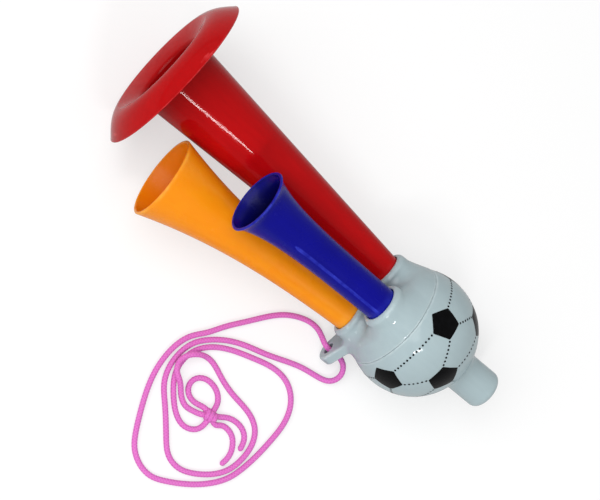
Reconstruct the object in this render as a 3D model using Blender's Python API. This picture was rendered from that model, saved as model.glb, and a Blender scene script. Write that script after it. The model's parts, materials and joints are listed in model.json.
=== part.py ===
"""Three-trumpet stadium horn, lying on a table with its neck cord beside it.

A moulded football-shaped blow chamber in two halves carries three push-in
trumpets. Behind each trumpet a reed unit sits in the chamber: a slotted body,
a springy tongue and the clip that clamps it. Metres, +Z up, +X towards the bells.
"""
import math

import bmesh
import bpy
import numpy as np
from mathutils import Matrix, Vector

GAP = 0.0003                  # clearance between pieces that touch
OVERCUT = 0.0030              # how far a cutting body runs past the faces it opens
TINY = 1e-6                   # points closer than this are one point
SMOOTH_ANGLE = 40.0           # edges sharper than this stay sharp in the shading

# Blow chamber: a ball, its two halves meeting on a plane in front of the centre
BALL_RADIUS = 0.0272
BALL_WALL = 0.0020
SEAM_X = 0.0114
LAP_LENGTH = 0.0030           # tongue of the front half inside the rear half
LAP_WALL = 0.0012
FACE_X = 0.0203               # front face that the collars stand on
FACE_EDGE_RADIUS = 0.0030

# Mouthpiece, moulded in one with the rear half
MOUTH_END_X = -0.0440
MOUTH_RADIUS = 0.0086
MOUTH_BORE_RADIUS = 0.0047
MOUTH_FILLET = 0.0040
MOUTH_END_ROUND = 0.0026

# Sockets: three collars round the ball axis, each leaning out by an angle and towards an angle
SOCKET_ANGLES = {"blue": 90.0, "red": 210.0, "orange": 330.0}
SOCKET_LEANS = {"blue": (3.5, 90.0), "red": (5.7, 236.2), "orange": (3.5, 330.0)}
SOCKET_OFFSET = 0.0135
COLLAR_RIM_X = 0.0258
COLLAR_RADIUS = 0.0100
COLLAR_BASE_RADIUS = 0.0109
COLLAR_LENGTH = 0.0135        # rim to the boss face inside the chamber
COLLAR_ROUND = 0.0022
SOCKET_DEPTH = 0.0090
REED_HOLE_RADIUS = 0.0048

# Flat lug for the neck cord, in line with the orange socket
LUG_X = 0.0163
LUG_THICKNESS = 0.0046
LUG_EYE_OFFSET = 0.0328
LUG_END_RADIUS = 0.0057
LUG_ROOT_HALF_WIDTH = 0.0085
LUG_ROOT_OFFSET = 0.0180
LUG_EYE_RADIUS = 0.0026
LUG_EDGE_ROUND = 0.0008

# Trumpets: outside radii, lengths from the collar rim, wall
TUBE_RADIUS = 0.0074
TUBE_WALL = 0.0013
RIM_ROUND = 0.0006
BLUE_LENGTH = 0.0701
BLUE_RIM_RADIUS = 0.0144
BLUE_FLARE_REACH = 0.0155
BLUE_LIP_LENGTH = 0.0032
BLUE_LIP_FLARE = 0.0009       # extra turn-out of the very edge
BLUE_STATIONS = (0.19, 0.36, 0.51, 0.64, 0.76, 0.86, 0.93, 0.97, 1.0)
ORANGE_LENGTH = 0.0988
ORANGE_RIM_RADIUS = 0.0182
ORANGE_FLARE_POWER = 2.6
ORANGE_STATIONS = (0.25, 0.37, 0.48, 0.59, 0.69, 0.79, 0.88, 0.95, 1.0)
RED_LENGTH = 0.1212           # to the widest circle of the rolled lip
RED_TAPER = 0.0788            # growth of radius with length
RED_LIP_RADIUS = 0.0373
RED_LIP_RISE = 0.0070         # crest of the lip ahead of the widest circle
RED_LIP_POWERS = (0.9, 1.97)  # superellipse of the lip's section, along and across the axis
RED_CREST_RADIUS = 0.0253
RED_FUNNEL_SLOPE = 22.5       # degrees that the funnel inside the crest falls away
RED_THROAT_ROUND = 0.0022

# Reed units, measured back from the collar rim along the trumpet's axis
PLUG_RADIUS = REED_HOLE_RADIUS - GAP
FLANGE_RADIUS = 0.0066
FLANGE_THICKNESS = 0.0012
SHALLOT_RADIUS = 0.0044
SHALLOT_LENGTH = 0.0200
SHALLOT_FLAT = 0.0016         # height of the reed table above the axis
SHALLOT_BORE_RADIUS = 0.0026
SHALLOT_END_WALL = 0.0020
TONGUE_WIDTH = 0.0056
TONGUE_THICKNESS = 0.0004
TONGUE_LENGTH = 0.0186
TONGUE_OPENING = 2.0          # degrees that the tongue stands off its table
CLIP_LENGTH = 0.0040
CLIP_WALL = 0.0011

# Neck cord: one length through the eye, its two strands laid in loose loops and tied together
CORD_DIAMETER = 0.0025
CORD_STEP = 0.0062            # between the rings of a strand's tube
BIGHT_STEP = 0.0040           # the same on the small bight and the tails
KNOT_CENTRE = (-0.0085, 0.0895, 0.0027)
KNOT_HALF_LENGTH = 0.0033
KNOT_RADIUS = 0.0026
KNOT_TURNS = 3

# Routes of the strands in millimetres, chosen to follow the cord as it lies
STRAND_FRONT = [
    (-36.7, 36.5, 5.5), (-33.6, 36.2, 5.5), (-30.1, 34.1, 4.6), (-26.7, 31.8, 3.1), (-22.7, 31.0, 1.9),
    (-17.6, 32.0, 1.3), (-11.6, 35.0, 1.3), (-5.6, 40.3, 1.3), (0.7, 47.4, 1.3), (7.1, 54.7, 1.3),
    (12.3, 61.5, 1.3), (16.8, 66.5, 1.3), (19.7, 72.4, 1.3), (21.1, 79.7, 1.3), (21.1, 87.3, 1.3),
    (17.0, 103.9, 1.3), (14.0, 111.7, 1.3), (10.1, 118.6, 1.3), (4.4, 122.8, 1.3), (-2.3, 124.0, 1.3),
    (-8.4, 122.2, 1.3), (-25.4, 111.5, 1.3), (-30.2, 105.6, 1.3), (-33.2, 98.5, 1.3), (-36.8, 80.9, 1.3),
    (-37.2, 71.9, 1.3), (-34.3, 63.2, 1.3), (-28.1, 57.9, 1.3), (-20.3, 56.6, 1.3), (-10.8, 58.3, 1.3),
    (-2.3, 60.6, 1.3), (5.9, 64.4, 1.3), (11.4, 69.6, 1.3), (14.0, 76.8, 1.3), (13.4, 83.5, 1.3),
    (9.4, 90.6, 1.3), (3.7, 96.7, 1.3), (-1.8, 99.0, 1.3), (-6.6, 97.5, 1.4), (-8.8, 92.5, 1.9),
]
STRAND_REAR = [
    (-37.1, 36.5, 5.5), (-40.5, 36.5, 5.1), (-44.4, 38.2, 4.2), (-46.1, 42.2, 3.2), (-44.0, 46.4, 2.1),
    (-38.6, 48.1, 1.4), (-31.2, 48.9, 1.3), (-14.7, 53.5, 1.3), (-5.9, 55.6, 1.3), (2.2, 58.5, 1.3),
    (9.0, 62.8, 1.3), (14.3, 68.4, 1.3), (16.9, 75.4, 1.3), (17.2, 82.3, 1.3), (15.1, 89.4, 1.3),
    (10.4, 95.7, 1.3), (1.4, 107.5, 1.3), (-3.4, 112.7, 1.3), (-9.7, 114.6, 1.3), (-16.9, 112.6, 1.3),
    (-23.6, 108.3, 1.3), (-28.2, 102.9, 1.3), (-30.5, 96.1, 1.3), (-30.8, 88.9, 1.3), (-28.1, 82.4, 1.3),
    (-22.0, 78.4, 1.3), (-12.6, 76.2, 1.3), (-3.5, 73.0, 1.3), (4.2, 69.9, 1.3), (7.5, 70.2, 2.4),
    (10.8, 71.8, 4.1), (13.6, 74.2, 4.3), (15.4, 78.4, 3.95), (14.1, 82.6, 4.2), (10.8, 85.1, 3.7),
    (8.3, 87.1, 2.1), (5.8, 89.7, 1.3), (2.1, 91.8, 1.3), (-2.1, 91.6, 1.5), (-4.9, 91.0, 1.9),
]
BIGHT = [
    (-8.7, 86.5, 2.2), (-8.4, 82.8, 1.4), (-6.0, 79.5, 1.3), (-2.1, 77.7, 1.3), (2.0, 77.8, 1.3),
    (5.2, 80.2, 1.3), (5.8, 84.0, 1.3), (3.4, 87.3, 1.3), (-0.5, 88.3, 1.4), (-4.9, 87.9, 1.9),
]
TAIL_LONG = [
    (-12.5, 90.9, 1.9), (-15.2, 89.6, 1.4), (-18.7, 89.4, 1.3), (-21.7, 90.8, 1.3), (-23.8, 93.4, 1.3),
    (-25.0, 96.7, 1.3), (-25.0, 100.1, 1.3), (-24.1, 103.3, 1.3),
]
TAIL_SHORT = [
    (-12.6, 87.1, 1.9), (-15.4, 85.5, 1.4), (-19.6, 84.7, 1.3), (-23.5, 85.6, 1.3), (-26.3, 88.0, 1.3),
    (-27.4, 91.3, 1.3), (-27.6, 93.9, 1.3),
]
MILLIMETRE = 0.001

REST_PASSES = 20              # rounds of the search for the resting pose
CURVE_STEPS = 16              # steps of a smooth curve between two of its route's points
SEGMENTS_BALL = 40
SEGMENTS_RED = 40
SEGMENTS_TUBE = 32
SEGMENTS_COLLAR = 26
SEGMENTS_REED = 20

WHITE = (0.80, 0.83, 0.83)
COLOURS = {"red": (0.56, 0.006, 0.008), "orange": (0.95, 0.31, 0.02), "blue": (0.010, 0.010, 0.30)}


def clear_scene():
    for item in list(bpy.data.objects):
        bpy.data.objects.remove(item, do_unlink=True)


def material(name, colour, roughness, metallic=0.0):
    finish = bpy.data.materials.new(name)
    finish.use_nodes = True
    shader = finish.node_tree.nodes["Principled BSDF"]
    shader.inputs["Base Color"].default_value = (*colour, 1.0)
    shader.inputs["Roughness"].default_value = roughness
    shader.inputs["Metallic"].default_value = metallic
    return finish


def add_object(name, bm, finish, parent, matrix=None):
    """Turn a bmesh into a named object under a parent."""
    mesh = bpy.data.meshes.new(name)
    bm.to_mesh(mesh)
    bm.free()
    mesh.shade_smooth()
    mesh.set_sharp_from_angle(angle=math.radians(SMOOTH_ANGLE))
    mesh.materials.append(finish)
    item = bpy.data.objects.new(name, mesh)
    bpy.context.scene.collection.objects.link(item)
    item.parent = parent
    item.matrix_local = matrix or Matrix.Identity(4)
    return item


def add_cutter(name, bm, parent, matrix=None):
    """A hidden tool body for Boolean modifiers."""
    mesh = bpy.data.meshes.new(name)
    bm.to_mesh(mesh)
    bm.free()
    item = bpy.data.objects.new(name, mesh)
    bpy.context.scene.collection.objects.link(item)
    item.parent = parent
    item.matrix_local = matrix or Matrix.Identity(4)
    item.hide_render = True
    item.display_type = 'WIRE'
    return item


def combine(target, name, tools, operation):
    """Add or take away a group of tool bodies in one Boolean step."""
    group = bpy.data.collections.new(name)
    for tool in tools:
        group.objects.link(tool)
    step = target.modifiers.new(name, 'BOOLEAN')
    step.operation = operation
    step.solver = 'EXACT'
    step.operand_type = 'COLLECTION'
    step.collection = group


def turned(outline, segments, closed=True):
    """Turn an outline of (along, radius) points about the X axis into a closed body."""
    bm = bmesh.new()
    verts = [bm.verts.new((along, radius, 0.0)) for along, radius in outline]
    pairs = list(zip(verts, verts[1:]))
    if closed:
        pairs.append((verts[-1], verts[0]))
    edges = [bm.edges.new(pair) for pair in pairs]
    bmesh.ops.spin(bm, geom=verts + edges, axis=(1, 0, 0), cent=(0, 0, 0),
                   angle=2 * math.pi, steps=segments, use_merge=True)
    bmesh.ops.remove_doubles(bm, verts=bm.verts[:], dist=TINY)
    bmesh.ops.dissolve_degenerate(bm, edges=bm.edges[:], dist=TINY)
    bmesh.ops.recalc_face_normals(bm, faces=bm.faces[:])
    return bm


def box(low, high):
    bm = bmesh.new()
    bmesh.ops.create_cube(bm, size=1.0)
    size = Vector(high) - Vector(low)
    centre = (Vector(high) + Vector(low)) / 2
    bmesh.ops.transform(bm, matrix=Matrix.Translation(centre) @ Matrix.Diagonal((*size, 1.0)),
                        verts=bm.verts[:])
    return bm


def cylinder(start, end, radius, segments):
    return turned([(start, 0.0), (start, radius), (end, radius), (end, 0.0)], segments, closed=False)


def arc(centre, radii, start, end, steps):
    """Points of an elliptical arc in the (along, radius) plane, angles in degrees."""
    angles = np.radians(np.linspace(start, end, steps + 1))
    return [(centre[0] + radii[0] * math.cos(a), centre[1] + radii[1] * math.sin(a)) for a in angles]


def sphere_arc(radius, start_x, end_x, steps):
    """Meridian of the ball between two planes across its axis."""
    start = math.degrees(math.acos(start_x / radius))
    end = math.degrees(math.acos(end_x / radius))
    return arc((0.0, 0.0), (radius, radius), start, end, steps)


def socket_frame(colour):
    """Frame of a socket: X out along the trumpet, Z away from the ball axis."""
    angle = math.radians(SOCKET_ANGLES[colour])
    lean, way = np.radians(SOCKET_LEANS[colour])
    radial = Vector((0.0, math.cos(angle), math.sin(angle)))
    ahead = Vector((1.0, 0.0, 0.0))
    x_axis = Vector((math.cos(lean), math.sin(lean) * math.cos(way), math.sin(lean) * math.sin(way)))
    z_axis = (radial - radial.dot(x_axis) * x_axis).normalized()
    y_axis = z_axis.cross(x_axis)
    place = Matrix((x_axis, y_axis, z_axis)).transposed().to_4x4()
    place.translation = COLLAR_RIM_X * ahead + SOCKET_OFFSET * radial
    return place


def lug_frame():
    """Frame of the lug: X along the ball axis, Z out through the eye."""
    return Matrix.Rotation(math.radians(SOCKET_ANGLES["orange"] - 90.0), 4, 'X')


def rear_shell(parent, finish):
    inside = BALL_RADIUS - BALL_WALL
    rabbet = math.sqrt(BALL_RADIUS ** 2 - SEAM_X ** 2) - LAP_WALL
    rim_x = SEAM_X - GAP / 2
    # the fillet is a circle that touches the ball and the mouthpiece from outside
    fillet_r = MOUTH_RADIUS + MOUTH_FILLET
    fillet_x = -math.sqrt((BALL_RADIUS + MOUTH_FILLET) ** 2 - fillet_r ** 2)
    touch_x = fillet_x * BALL_RADIUS / (BALL_RADIUS + MOUTH_FILLET)
    touch_angle = math.degrees(math.atan2(-fillet_r, -fillet_x))
    bore_x = -math.sqrt(inside ** 2 - MOUTH_BORE_RADIUS ** 2)
    rabbet_x = math.sqrt(inside ** 2 - rabbet ** 2)
    outline = sphere_arc(BALL_RADIUS, rim_x, touch_x, 12)
    outline += arc((fillet_x, fillet_r), (MOUTH_FILLET, MOUTH_FILLET), touch_angle, -90.0, 3)[1:]
    outline += arc((MOUTH_END_X + MOUTH_END_ROUND, MOUTH_RADIUS - MOUTH_END_ROUND),
                   (MOUTH_END_ROUND, MOUTH_END_ROUND), 90.0, 180.0, 3)
    outline.append((MOUTH_END_X, MOUTH_BORE_RADIUS))
    outline.append((bore_x, MOUTH_BORE_RADIUS))
    outline += sphere_arc(inside, bore_x, rabbet_x, 8)[1:]
    outline.append((rim_x, rabbet))
    return add_object("rear_shell", turned(outline, SEGMENTS_BALL), finish, parent)


def front_zone():
    """Front half without its collars: a zone of the ball, its face and the lap inside the seam."""
    rim_x = SEAM_X + GAP / 2
    edge = FACE_EDGE_RADIUS
    # the rounded edge touches the ball from inside and the front face
    edge_x = FACE_X - edge
    edge_r = math.sqrt((BALL_RADIUS - edge) ** 2 - edge_x ** 2)
    touch_angle = math.degrees(math.atan2(edge_r, edge_x))
    touch_x = BALL_RADIUS * math.cos(math.radians(touch_angle))
    inside = BALL_RADIUS - BALL_WALL
    lap_outside = math.sqrt(BALL_RADIUS ** 2 - SEAM_X ** 2) - LAP_WALL - GAP
    lap_inside = lap_outside - LAP_WALL
    lap_x = SEAM_X - LAP_LENGTH
    outline = [(FACE_X, 0.0)]
    outline += arc((edge_x, edge_r), (edge, edge), 0.0, touch_angle, 3)
    outline += sphere_arc(BALL_RADIUS, touch_x, rim_x, 4)[1:]
    outline += [(rim_x, lap_outside), (lap_x, lap_outside), (lap_x, lap_inside)]
    outline += sphere_arc(inside, math.sqrt(inside ** 2 - lap_inside ** 2), FACE_X - BALL_WALL, 3)
    outline.append((FACE_X - BALL_WALL, 0.0))
    return turned(outline, SEGMENTS_BALL, closed=False)


def collar():
    """Solid of one collar, from its rounded rim to the boss face inside the chamber."""
    straight = COLLAR_RADIUS - COLLAR_ROUND
    outline = [(0.0, 0.0)]
    outline += arc((-COLLAR_ROUND, straight), (COLLAR_ROUND, COLLAR_ROUND), 0.0, 90.0, 3)
    outline += [(-COLLAR_LENGTH, COLLAR_BASE_RADIUS), (-COLLAR_LENGTH, 0.0)]
    return turned(outline, SEGMENTS_COLLAR, closed=False)


def socket_room():
    """Room that the tube end and, behind a step, the plug of the reed take up in a collar."""
    bore = TUBE_RADIUS + GAP
    end = -COLLAR_LENGTH - OVERCUT
    outline = [(OVERCUT, 0.0), (OVERCUT, bore), (-SOCKET_DEPTH, bore), (-SOCKET_DEPTH, REED_HOLE_RADIUS),
               (end, REED_HOLE_RADIUS), (end, 0.0)]
    return turned(outline, SEGMENTS_COLLAR, closed=False)


def lug_outline():
    """Half-round tab that widens towards the ball, as (across, out) points."""
    reach = LUG_EYE_OFFSET - LUG_ROOT_OFFSET
    slope = math.degrees(math.atan2(LUG_ROOT_HALF_WIDTH - LUG_END_RADIUS, reach))
    tip = arc((0.0, LUG_EYE_OFFSET), (LUG_END_RADIUS, LUG_END_RADIUS), slope, 180.0 - slope, 10)
    return tip + [(-LUG_ROOT_HALF_WIDTH, LUG_ROOT_OFFSET), (LUG_ROOT_HALF_WIDTH, LUG_ROOT_OFFSET)]


def lug():
    bm = bmesh.new()
    back = LUG_X - LUG_THICKNESS / 2
    verts = [bm.verts.new((back, across, out)) for across, out in lug_outline()]
    face = bm.faces.new(verts)
    sweep = bmesh.ops.extrude_face_region(bm, geom=[face])
    moved = [item for item in sweep["geom"] if isinstance(item, bmesh.types.BMVert)]
    bmesh.ops.translate(bm, verts=moved, vec=(LUG_THICKNESS, 0.0, 0.0))
    bmesh.ops.recalc_face_normals(bm, faces=bm.faces[:])
    rims = [edge for edge in bm.edges
            if abs(edge.verts[0].co.x - edge.verts[1].co.x) < TINY
            and max(vert.co.z for vert in edge.verts) > LUG_ROOT_OFFSET + TINY]
    bmesh.ops.bevel(bm, geom=rims, offset=LUG_EDGE_ROUND, segments=2, profile=0.5, affect='EDGES')
    return bm


def front_shell(parent, finish):
    shell = add_object("front_shell", front_zone(), finish, parent)
    added = [add_cutter("lug_tab", lug(), parent, lug_frame())]
    reach = LUG_THICKNESS / 2 + OVERCUT
    eye = cylinder(LUG_X - reach, LUG_X + reach, LUG_EYE_RADIUS, SEGMENTS_REED)
    place = lug_frame() @ Matrix.Translation((0.0, 0.0, LUG_EYE_OFFSET))
    removed = [add_cutter("lug_eye", eye, parent, place)]
    for colour in SOCKET_ANGLES:
        frame = socket_frame(colour)
        added.append(add_cutter("collar_" + colour, collar(), parent, frame))
        removed.append(add_cutter("socket_" + colour, socket_room(), parent, frame))
    combine(shell, "front_added", added, 'UNION')
    combine(shell, "front_removed", removed, 'DIFFERENCE')
    return shell


def trumpet_outline(stations, radius_at):
    """Closed wall outline from an outside radius, with a half-round rim."""
    outside = [(x, radius_at(x)) for x in stations]
    end_x, end_r = outside[-1]
    rim = arc((end_x, end_r - TUBE_WALL / 2), (RIM_ROUND, TUBE_WALL / 2), 90.0, -90.0, 3)[1:-1]
    inside = [(x, r - TUBE_WALL) for x, r in reversed(outside)]
    return outside + rim + inside


def tube_end():
    """Where the tube stops inside its socket."""
    return -SOCKET_DEPTH + GAP


def blue_radius(x):
    grown = BLUE_RIM_RADIUS - BLUE_LIP_FLARE - TUBE_RADIUS
    flare = grown * math.exp((x - BLUE_LENGTH) / BLUE_FLARE_REACH) if x > 0 else 0.0
    lip = max(0.0, (x - BLUE_LENGTH + BLUE_LIP_LENGTH) / BLUE_LIP_LENGTH)
    return TUBE_RADIUS + flare + BLUE_LIP_FLARE * lip ** 2


def orange_radius(x):
    grown = max(0.0, x) / ORANGE_LENGTH
    return TUBE_RADIUS + (ORANGE_RIM_RADIUS - TUBE_RADIUS) * grown ** ORANGE_FLARE_POWER


def lip_section(rise, wide, steps):
    """Superellipse quarter from the crest of the red lip down to its widest circle."""
    along, across = RED_LIP_POWERS
    angles = np.linspace(0.0, math.pi / 2, steps + 1)
    return [(RED_LENGTH + rise * max(0.0, math.cos(a)) ** (2 / along),
             RED_CREST_RADIUS + wide * math.sin(a) ** (2 / across)) for a in angles]


def red_outline():
    """Cone that opens through a funnel to a crest, and from there a lip rolled back over itself."""
    wide = RED_LIP_RADIUS - RED_CREST_RADIUS
    crest = (RED_LENGTH + RED_LIP_RISE, RED_CREST_RADIUS)
    turn = (-RED_FUNNEL_SLOPE, math.degrees(math.atan(RED_TAPER)) - 90.0)
    normals = np.column_stack((np.cos(np.radians(turn)), np.sin(np.radians(turn))))
    # the throat's round touches the funnel, which ends in the crest, and the inside of the cone
    on_both = np.array((crest, (0.0, TUBE_RADIUS - TUBE_WALL)))
    throat = np.linalg.solve(normals, (normals * on_both).sum(axis=1) - RED_THROAT_ROUND)
    under = RED_THROAT_ROUND - TUBE_WALL
    cone_x = np.linspace(0.0, throat[0], 4)[:-1]
    outline = [(tube_end(), TUBE_RADIUS)]
    outline += [(x, TUBE_RADIUS + RED_TAPER * x) for x in cone_x]
    outline += arc(throat, (under, under), turn[1], turn[0], 3)
    outline += lip_section(RED_LIP_RISE - TUBE_WALL, wide - TUBE_WALL, 7)
    rim_middle = (RED_LENGTH, RED_LIP_RADIUS - TUBE_WALL / 2)
    outline += arc(rim_middle, (RIM_ROUND, TUBE_WALL / 2), 270.0, 90.0, 3)[1:-1]
    outline += reversed(lip_section(RED_LIP_RISE, wide, 8))
    outline += arc(throat, (RED_THROAT_ROUND, RED_THROAT_ROUND), turn[0], turn[1], 3)
    outline += [(x, TUBE_RADIUS - TUBE_WALL + RED_TAPER * x) for x in reversed(cone_x)]
    outline.append((tube_end(), TUBE_RADIUS - TUBE_WALL))
    return outline


def trumpets(parent, finishes):
    blue_x = [tube_end(), 0.0] + [BLUE_LENGTH * station for station in BLUE_STATIONS]
    orange_x = [tube_end(), 0.0] + [ORANGE_LENGTH * station for station in ORANGE_STATIONS]
    outlines = {
        "blue": trumpet_outline(blue_x, blue_radius),
        "orange": trumpet_outline(orange_x, orange_radius),
        "red": red_outline(),
    }
    for colour, outline in outlines.items():
        segments = SEGMENTS_RED if colour == "red" else SEGMENTS_TUBE
        add_object(colour + "_trumpet", turned(outline, segments), finishes[colour], parent,
                   socket_frame(colour))


def reed_back():
    """Where the reed table starts, behind the flange on the boss."""
    return -COLLAR_LENGTH - GAP - FLANGE_THICKNESS


def reed_body(name, parent, frame, finish):
    """Plug and flange with a slotted tube behind, its bore opened by the flat reed table."""
    seat = -COLLAR_LENGTH - GAP
    back = reed_back()
    end = back - SHALLOT_LENGTH
    bottom = end + SHALLOT_END_WALL
    outline = [(bottom, 0.0), (bottom, SHALLOT_BORE_RADIUS), (-SOCKET_DEPTH, SHALLOT_BORE_RADIUS),
               (-SOCKET_DEPTH, PLUG_RADIUS), (seat, PLUG_RADIUS), (seat, FLANGE_RADIUS),
               (back, FLANGE_RADIUS), (back, SHALLOT_RADIUS), (end, SHALLOT_RADIUS), (end, 0.0)]
    body = add_object(name, turned(outline, SEGMENTS_REED, closed=False), finish, parent, frame)
    aside = SHALLOT_RADIUS + OVERCUT
    table = box((end - OVERCUT, -aside, SHALLOT_FLAT), (back, aside, aside))
    combine(body, name + "_cut", [add_cutter(name + "_table", table, parent, frame)], 'DIFFERENCE')


def reed_tongue(name, parent, frame, finish):
    """Thin strip lying along the table, bent open behind the clip, its origin at the bend."""
    root = reed_back() - GAP
    bend = reed_back() - CLIP_LENGTH - 2 * GAP
    free = root - TONGUE_LENGTH
    lift = math.tan(math.radians(TONGUE_OPENING))
    half = TONGUE_WIDTH / 2
    section = [(-half, 0.0), (half, 0.0), (half, TONGUE_THICKNESS), (-half, TONGUE_THICKNESS)]
    bm = bmesh.new()
    rows = []
    for x, z in ((root, 0.0), (bend, 0.0), (free, (bend - free) * lift)):
        rows.append([bm.verts.new((x - bend, y, z + up)) for y, up in section])
    for near, far in zip(rows, rows[1:]):
        for k in range(4):
            bm.faces.new((near[k], near[k - 1], far[k - 1], far[k]))
    bm.faces.new(rows[0])
    bm.faces.new(rows[-1])
    bmesh.ops.recalc_face_normals(bm, faces=bm.faces[:])
    place = frame @ Matrix.Translation((bend, 0.0, SHALLOT_FLAT + GAP))
    add_object(name, bm, finish, parent, place)


def reed_clip(name, parent, frame, finish):
    """Ring with a flat land that holds the root of the tongue down on the table."""
    front = reed_back() - GAP
    inside = SHALLOT_RADIUS + GAP
    land = SHALLOT_FLAT + TONGUE_THICKNESS + 2 * GAP
    clip = add_object(name, cylinder(front - CLIP_LENGTH, front, inside + CLIP_WALL, SEGMENTS_REED),
                      finish, parent, frame)
    room = cylinder(front - CLIP_LENGTH - GAP, front + GAP, inside, SEGMENTS_REED)
    tool = add_cutter(name + "_room", room, parent, frame)
    aside = inside + OVERCUT
    flat = box((front - CLIP_LENGTH - OVERCUT, -aside, land), (front + OVERCUT, aside, aside))
    combine(tool, name + "_flat", [add_cutter(name + "_land", flat, parent, frame)], 'DIFFERENCE')
    combine(clip, name + "_cut", [tool], 'DIFFERENCE')


def reeds(parent):
    plug = material("reed_plastic", (0.72, 0.72, 0.68), 0.35)
    strip = material("reed_brass", (0.75, 0.52, 0.20), 0.3, metallic=1.0)
    ring = material("reed_clip_plastic", (0.60, 0.62, 0.62), 0.4)
    for colour in SOCKET_ANGLES:
        frame = socket_frame(colour)
        reed_body("reed_body_" + colour, parent, frame, plug)
        reed_tongue("reed_tongue_" + colour, parent, frame, strip)
        reed_clip("reed_clip_" + colour, parent, frame, ring)


def lowest_on_circle(centre, axis, radius, up):
    across = up - up.dot(axis) * axis
    return centre - radius * across.normalized()


def resting_up():
    """Upward direction in the horn's own axes when the ball, the lug and the red lip touch the table."""
    ahead = Vector((1.0, 0.0, 0.0))
    red = socket_frame("red")
    lip_centre = red @ Vector((RED_LENGTH, 0.0, 0.0))
    lip_axis = red.to_3x3() @ ahead
    lug_edge = LUG_X - LUG_THICKNESS / 2 + LUG_EDGE_ROUND
    lug_centre = lug_frame() @ Vector((lug_edge, 0.0, LUG_EYE_OFFSET))
    up = Vector((0.0, 0.0, 1.0))
    for _ in range(REST_PASSES):
        lip = lowest_on_circle(lip_centre, lip_axis, RED_LIP_RADIUS, up)
        tip = lowest_on_circle(lug_centre, ahead, LUG_END_RADIUS, up)
        # the table touches the ball and passes through both of these points
        touching = np.array((lip, tip))
        level = touching.T @ np.linalg.solve(touching @ touching.T, (-BALL_RADIUS, -BALL_RADIUS))
        turn = np.cross(tip, lip)
        turn *= math.sqrt(1.0 - level @ level) / np.linalg.norm(turn)
        up = Vector(level + turn * math.copysign(1.0, turn[2]))
    return up


def set_down(horn):
    """Turn the horn to its resting pose, then put its base's middle on the origin."""
    up = resting_up()
    ahead = Vector((1.0, 0.0, 0.0))
    ahead = (ahead - ahead.dot(up) * up).normalized()
    horn.matrix_world = Matrix((ahead, up.cross(ahead), up)).to_4x4()
    bpy.context.view_layer.update()
    graph = bpy.context.evaluated_depsgraph_get()
    corners = []
    for item in horn.children:
        if not item.hide_render:
            shape = item.evaluated_get(graph)
            corners += [shape.matrix_world @ vert.co for vert in shape.data.vertices]
    low = np.min(corners, axis=0)
    high = np.max(corners, axis=0)
    horn.location = (-(low[0] + high[0]) / 2, -(low[1] + high[1]) / 2, -low[2])
    bpy.context.view_layer.update()


def smooth_route(points, step):
    """Even points along the natural cubic curve through a route's own points."""
    route = np.array(points) * MILLIMETRE
    spans = np.linalg.norm(np.diff(route, axis=0), axis=1)
    slopes = np.diff(route, axis=0) / spans[:, None]
    system = np.eye(len(route))
    bends = np.zeros_like(route)
    for k in range(1, len(route) - 1):
        system[k, k - 1:k + 2] = (spans[k - 1], 2 * (spans[k - 1] + spans[k]), spans[k])
        bends[k] = 6 * (slopes[k] - slopes[k - 1])
    bends = np.linalg.solve(system, bends)
    dense = [route[:1]]
    for k, span in enumerate(spans):
        done = np.linspace(0.0, span, CURVE_STEPS + 1)[1:, None]
        left = span - done
        dense.append((bends[k] * left ** 3 + bends[k + 1] * done ** 3) / (6 * span)
                     + (route[k] / span - bends[k] * span / 6) * left
                     + (route[k + 1] / span - bends[k + 1] * span / 6) * done)
    dense = np.vstack(dense)
    along = np.concatenate(([0.0], np.cumsum(np.linalg.norm(np.diff(dense, axis=0), axis=1))))
    stops = np.linspace(0.0, along[-1], round(along[-1] / step) + 1)
    return np.column_stack([np.interp(stops, along, dense[:, axis]) for axis in range(3)])


def strand(name, route, step, finish):
    points = smooth_route(route, step)
    curve = bpy.data.curves.new(name, 'CURVE')
    curve.dimensions = '3D'
    spline = curve.splines.new('POLY')
    spline.points.add(len(points) - 1)
    for point, place in zip(spline.points, points):
        point.co = (*place, 1.0)
    curve.bevel_depth = CORD_DIAMETER / 2
    curve.bevel_resolution = 2
    curve.use_fill_caps = True
    curve.materials.append(finish)
    item = bpy.data.objects.new(name, curve)
    bpy.context.scene.collection.objects.link(item)


def knot(finish):
    """Barrel of drawn-up turns that ties the strands together."""
    turn = 2 * KNOT_HALF_LENGTH / KNOT_TURNS
    outline = [(-KNOT_HALF_LENGTH, 0.0)]
    for index in range(KNOT_TURNS):
        middle = -KNOT_HALF_LENGTH + (index + 0.5) * turn
        bulge = arc((middle, KNOT_RADIUS - turn / 2), (turn / 2, turn / 2), 165.0, 15.0, 4)
        outline += [(x, min(r, KNOT_RADIUS)) for x, r in bulge]
    outline.append((KNOT_HALF_LENGTH, 0.0))
    add_object("lanyard_knot", turned(outline, SEGMENTS_REED, closed=False), finish, None,
               Matrix.Translation(KNOT_CENTRE))


def least_gap(routes):
    """Smallest clear distance between strands, and between parts of one strand well apart along it."""
    spacing = CORD_DIAMETER / 4
    ends = 4                      # points left out at each end, where strands meet face to face
    points = [smooth_route(route, spacing)[ends:-ends] for route in routes]
    owner = np.concatenate([np.full(len(line), index) for index, line in enumerate(points)])
    along = np.concatenate([np.arange(len(line)) * spacing for line in points])
    points = np.vstack(points)
    apart = np.linalg.norm(points[:, None] - points[None], axis=2)
    near = (owner[:, None] == owner[None]) & (np.abs(along[:, None] - along[None]) < 4 * CORD_DIAMETER)
    apart[near] = np.inf
    first, second = np.unravel_index(apart.argmin(), apart.shape)
    print("least gap of the cord %.2f mm, near" % ((apart.min() - CORD_DIAMETER) / MILLIMETRE),
          np.round(points[first] / MILLIMETRE, 1), np.round(points[second] / MILLIMETRE, 1))


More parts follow.
